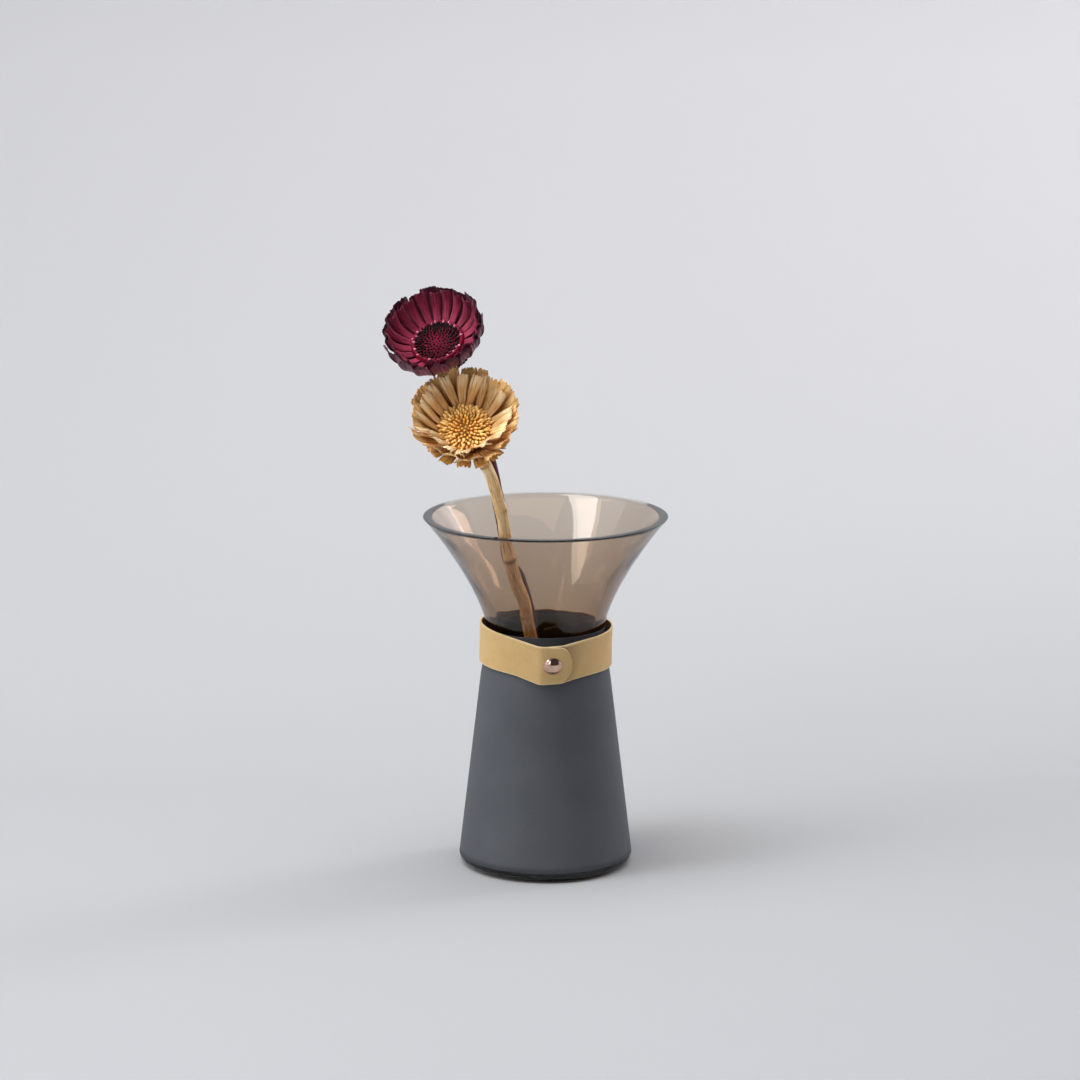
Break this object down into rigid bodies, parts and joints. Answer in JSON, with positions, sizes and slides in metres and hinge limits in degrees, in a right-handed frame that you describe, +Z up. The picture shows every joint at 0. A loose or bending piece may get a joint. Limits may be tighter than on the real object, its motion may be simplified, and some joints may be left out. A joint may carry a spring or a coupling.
{
  "type": "dried flowers in glass vase",
  "caption": "Flared smoked-glass vase with a matte lower coat and a snapped leather strap round its neck, holding dried cone flowers with open bract cups on woody stems.",
  "frame": {"origin": "centre of the foot of the vase, on the plane that it stands on", "axes": "+Z up along the axis of the vase; the snap of the strap and the faces of the flowers look towards -Y; +X to the right seen from there"},
  "size_m": [0.1563, 0.1648, 0.3352],
  "materials": {
    "smoked_glass": "clear smoky brown grey",
    "matte_grey_coat": "sprayed matte lacquer",
    "tan_leather": "smooth grain with painted edges",
    "snap_metal": "polished pale gold",
    "tan_bark": "dry bleached bark",
    "tan_bract": "dry ridged bracts",
    "tan_back_bract": "dry scaly bracts",
    "tan_disc": "bumpy dry florets",
    "burgundy_bark": "dyed dry bark",
    "burgundy_bract": "dyed ridged bracts",
    "burgundy_back_bract": "dyed scaly bracts",
    "burgundy_disc": "dyed bumpy florets"
  },
  "bodies": {
    "vase": {"vase_glass": "smoked_glass", "matte_coat": "matte_grey_coat"},
    "strap": {"strap": "tan_leather", "snap_cap": "snap_metal", "snap_socket": "snap_metal", "snap_stud": "snap_metal", "snap_post": "snap_metal"},
    "tan_flower": {"tan_stem": "tan_bark", "tan_receptacle": "tan_back_bract", "tan_florets": "tan_disc", "tan_inner_bracts": "tan_bract", "tan_outer_bracts": "tan_bract", "tan_back_bracts": "tan_back_bract"},
    "burgundy_flower": {"burgundy_stem": "burgundy_bark", "burgundy_receptacle": "burgundy_back_bract", "burgundy_florets": "burgundy_disc", "burgundy_inner_bracts": "burgundy_bract", "burgundy_outer_bracts": "burgundy_bract", "burgundy_back_bracts": "burgundy_back_bract"}
  },
  "joints": [
    {"name": "strap_turn", "type": "hinge", "parent": "vase", "child": "strap", "pos_m": [0, 0, 0.125], "axis": [0, 0, 1], "continuous": true},
    {"name": "tan_lift", "type": "slide", "parent": "vase", "child": "tan_flower", "axis": [-0.2483, -0.1623, 0.955], "range_m": [0, 0.21]},
    {"name": "burgundy_lift", "type": "slide", "parent": "tan_flower", "child": "burgundy_flower", "axis": [-0.249, -0.1437, 0.9578], "range_m": [0, 0.21]}
  ]
}
